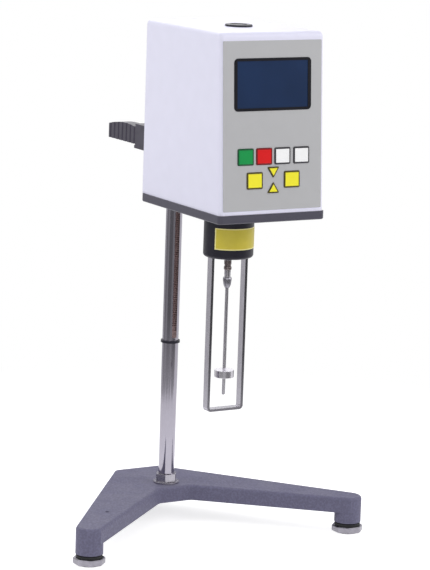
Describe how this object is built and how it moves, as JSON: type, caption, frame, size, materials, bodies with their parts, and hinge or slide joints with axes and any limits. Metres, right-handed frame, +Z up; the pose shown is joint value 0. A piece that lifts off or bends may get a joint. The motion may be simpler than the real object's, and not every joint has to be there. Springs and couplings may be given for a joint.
{
  "type": "rotational viscometer",
  "caption": "Bench viscometer: a keypad-and-display head with a guarded spindle, on a rack column above a V-shaped levelling base.",
  "frame": {"origin": "on the bench, under the middle of the instrument's outline", "axes": "+Z up along the column, -Y towards the front panel, X across the head"},
  "size_m": [0.3174, 0.254, 0.507],
  "materials": {
    "cast_hammertone": "blue-grey hammertone enamel on a casting",
    "chromed_steel": "bright chrome plate",
    "plain_steel": "turned and brushed",
    "dark_steel": "blackened, oiled",
    "black_plastic": "fine satin",
    "black_paint": "black crackle paint",
    "grey_paint": "dark grey paint",
    "white_paint": "lavender white powder coat",
    "grey_film": "printed film, satin",
    "bezel_gloss": "gloss black",
    "screen": "dark blue display",
    "key_green": "satin, dark outline",
    "key_red": "satin, dark outline",
    "key_white": "satin, dark outline",
    "key_yellow": "satin, dark outline",
    "board_green": "solder mask",
    "brass": "turned",
    "white_nylon": "natural nylon",
    "rubber": "matt",
    "clear": "clear vial",
    "aluminium": "plain"
  },
  "bodies": {
    "stand": {"base_casting": "cast_hammertone", "column": "chromed_steel", "column_rack": "dark_steel", "rack_screws": "dark_steel", "stop_ring": "black_plastic", "column_washer": "plain_steel", "column_nut": "plain_steel", "lock_nut": "plain_steel"},
    "carriage": {"lift_carriage": "black_paint", "slide_bushes": "white_nylon", "brake_pad": "white_nylon"},
    "lift_drive": {"lift_pinion": "plain_steel", "lift_knob": "black_plastic"},
    "brake": {"brake_lever": "black_plastic"},
    "rod_clamp": {"clamp_screw": "black_plastic"},
    "head": {"mounting_rod": "chromed_steel", "rod_bracket": "aluminium", "base_plate": "grey_paint", "housing_cover": "white_paint", "rear_panel": "white_paint", "switch_body": "black_plastic", "power_inlet": "black_plastic", "serial_port": "plain_steel", "panel_overlay": "grey_film", "display_bezel": "bezel_gloss", "display_module": "screen", "keypad_board": "board_green", "chassis_posts": "aluminium", "motor_plate": "aluminium", "motor": "plain_steel", "drive_bearing": "plain_steel", "spindle_collar": "black_plastic", "pivot_cup": "plain_steel", "spindle_guard": "chromed_steel", "main_board": "board_green", "power_board": "board_green", "bubble_level": "black_plastic", "level_vial": "clear", "panel_screws": "plain_steel"},
    "motor_rotor": {"motor_pinion": "brass"},
    "drive": {"drive_gear": "brass", "hairspring": "dark_steel"},
    "spindle": {"spindle_shaft": "plain_steel", "coupling_nut": "dark_steel", "measuring_spindle": "plain_steel"},
    "rocker": {"switch_rocker": "black_plastic"},
    "key_green_cap": {"key_green": "key_green"},
    "key_red_cap": {"key_red": "key_red"},
    "key_white_left_cap": {"key_white_left": "key_white"},
    "key_white_right_cap": {"key_white_right": "key_white"},
    "key_yellow_left_cap": {"key_yellow_left": "key_yellow"},
    "key_yellow_right_cap": {"key_yellow_right": "key_yellow"},
    "key_arrow_down_cap": {"key_arrow_down": "key_yellow"},
    "key_arrow_up_cap": {"key_arrow_up": "key_yellow"},
    "foot_pad_left": {"foot_pad_left": "rubber"},
    "foot_left": {"levelling_foot_left": "plain_steel"},
    "foot_pad_right": {"foot_pad_right": "rubber"},
    "foot_right": {"levelling_foot_right": "plain_steel"},
    "foot_pad_rear": {"foot_pad_rear": "rubber"},
    "foot_rear": {"levelling_foot_rear": "plain_steel"}
  },
  "joints": [
    {"name": "lift", "type": "slide", "parent": "stand", "child": "carriage", "axis": [0, 0, 1], "range_m": [-0.125, 0.05]},
    {"name": "lift_knob_turn", "type": "hinge", "parent": "carriage", "child": "lift_drive", "pos_m": [0, 0.0453, 0.376], "axis": [1, 0, 0], "range_deg": [-369, 920]},
    {"name": "brake_lever_turn", "type": "hinge", "parent": "carriage", "child": "brake", "pos_m": [0, 0.06, 0.387], "axis": [1, 0, 0], "range_deg": [0, 60]},
    {"name": "rod_clamp_turn", "type": "hinge", "parent": "carriage", "child": "rod_clamp", "pos_m": [0, 0.036, 0.412], "axis": [0, 0, 1], "range_deg": [0, 360]},
    {"name": "head_swivel", "type": "hinge", "parent": "carriage", "child": "head", "pos_m": [0, 0.0234, 0.398], "axis": [0, 1, 0], "range_deg": [-8, 8]},
    {"name": "drive_spin", "type": "hinge", "parent": "head", "child": "drive", "pos_m": [0, -0.048, 0.379], "axis": [0, 0, 1], "continuous": true},
    {"name": "motor_spin", "type": "hinge", "parent": "head", "child": "motor_rotor", "pos_m": [0, -0.016, 0.379], "axis": [0, 0, 1], "continuous": true},
    {"name": "spindle_spin", "type": "hinge", "parent": "head", "child": "spindle", "pos_m": [0, -0.048, 0.27], "axis": [0, 0, 1], "continuous": true},
    {"name": "power_switch", "type": "hinge", "parent": "head", "child": "rocker", "pos_m": [0.031, 0.0214, 0.452], "axis": [1, 0, 0], "range_deg": [0, 14]},
    {"name": "key_green_press", "type": "slide", "parent": "head", "child": "key_green_cap", "axis": [0, 0.9978, -0.0659], "range_m": [0, 0.0005], "stiffness_N_per_m": 2500, "springref_m": -0.0004},
    {"name": "key_red_press", "type": "slide", "parent": "head", "child": "key_red_cap", "axis": [0, 0.9978, -0.0659], "range_m": [0, 0.0005], "stiffness_N_per_m": 2500, "springref_m": -0.0004},
    {"name": "key_white_left_press", "type": "slide", "parent": "head", "child": "key_white_left_cap", "axis": [0, 0.9978, -0.0659], "range_m": [0, 0.0005], "stiffness_N_per_m": 2500, "springref_m": -0.0004},
    {"name": "key_white_right_press", "type": "slide", "parent": "head", "child": "key_white_right_cap", "axis": [0, 0.9978, -0.0659], "range_m": [0, 0.0005], "stiffness_N_per_m": 2500, "springref_m": -0.0004},
    {"name": "key_yellow_left_press", "type": "slide", "parent": "head", "child": "key_yellow_left_cap", "axis": [0, 0.9978, -0.0659], "range_m": [0, 0.0005], "stiffness_N_per_m": 2500, "springref_m": -0.0004},
    {"name": "key_yellow_right_press", "type": "slide", "parent": "head", "child": "key_yellow_right_cap", "axis": [0, 0.9978, -0.0659], "range_m": [0, 0.0005], "stiffness_N_per_m": 2500, "springref_m": -0.0004},
    {"name": "key_arrow_down_press", "type": "slide", "parent": "head", "child": "key_arrow_down_cap", "axis": [0, 0.9978, -0.0659], "range_m": [0, 0.0005], "stiffness_N_per_m": 2500, "springref_m": -0.0004},
    {"name": "key_arrow_up_press", "type": "slide", "parent": "head", "child": "key_arrow_up_cap", "axis": [0, 0.9978, -0.0659], "range_m": [0, 0.0005], "stiffness_N_per_m": 2500, "springref_m": -0.0004},
    {"name": "foot_height_left", "type": "slide", "parent": "stand", "child": "foot_pad_left", "axis": [0, 0, 1], "range_m": [-0.005, 0]},
    {"name": "foot_screw_left", "type": "hinge", "parent": "foot_pad_left", "child": "foot_left", "pos_m": [-0.1442, -0.0546, 0.0068], "axis": [0, 0, 1], "range_deg": [-1805, 5]},
    {"name": "foot_height_right", "type": "slide", "parent": "stand", "child": "foot_pad_right", "axis": [0, 0, 1], "range_m": [-0.005, 0]},
    {"name": "foot_screw_right", "type": "hinge", "parent": "foot_pad_right", "child": "foot_right", "pos_m": [0.1442, -0.0546, 0.0068], "axis": [0, 0, 1], "range_deg": [-1805, 5]},
    {"name": "foot_height_rear", "type": "slide", "parent": "stand", "child": "foot_pad_rear", "axis": [0, 0, 1], "range_m": [-0.005, 0]},
    {"name": "foot_screw_rear", "type": "hinge", "parent": "foot_pad_rear", "child": "foot_rear", "pos_m": [0, 0.108, 0.0068], "axis": [0, 0, 1], "range_deg": [-1805, 5]}
  ],
  "couplings": [
    {"joint": "lift_knob_turn", "follows": "lift", "rad_per_m": -128.21},
    {"joint": "motor_spin", "follows": "drive_spin", "ratio": -4},
    {"joint": "spindle_spin", "follows": "drive_spin", "ratio": 1},
    {"joint": "foot_screw_left", "follows": "foot_height_left", "rad_per_m": 6283.2},
    {"joint": "foot_screw_right", "follows": "foot_height_right", "rad_per_m": 6283.2},
    {"joint": "foot_screw_rear", "follows": "foot_height_rear", "rad_per_m": 6283.2}
  ]
}
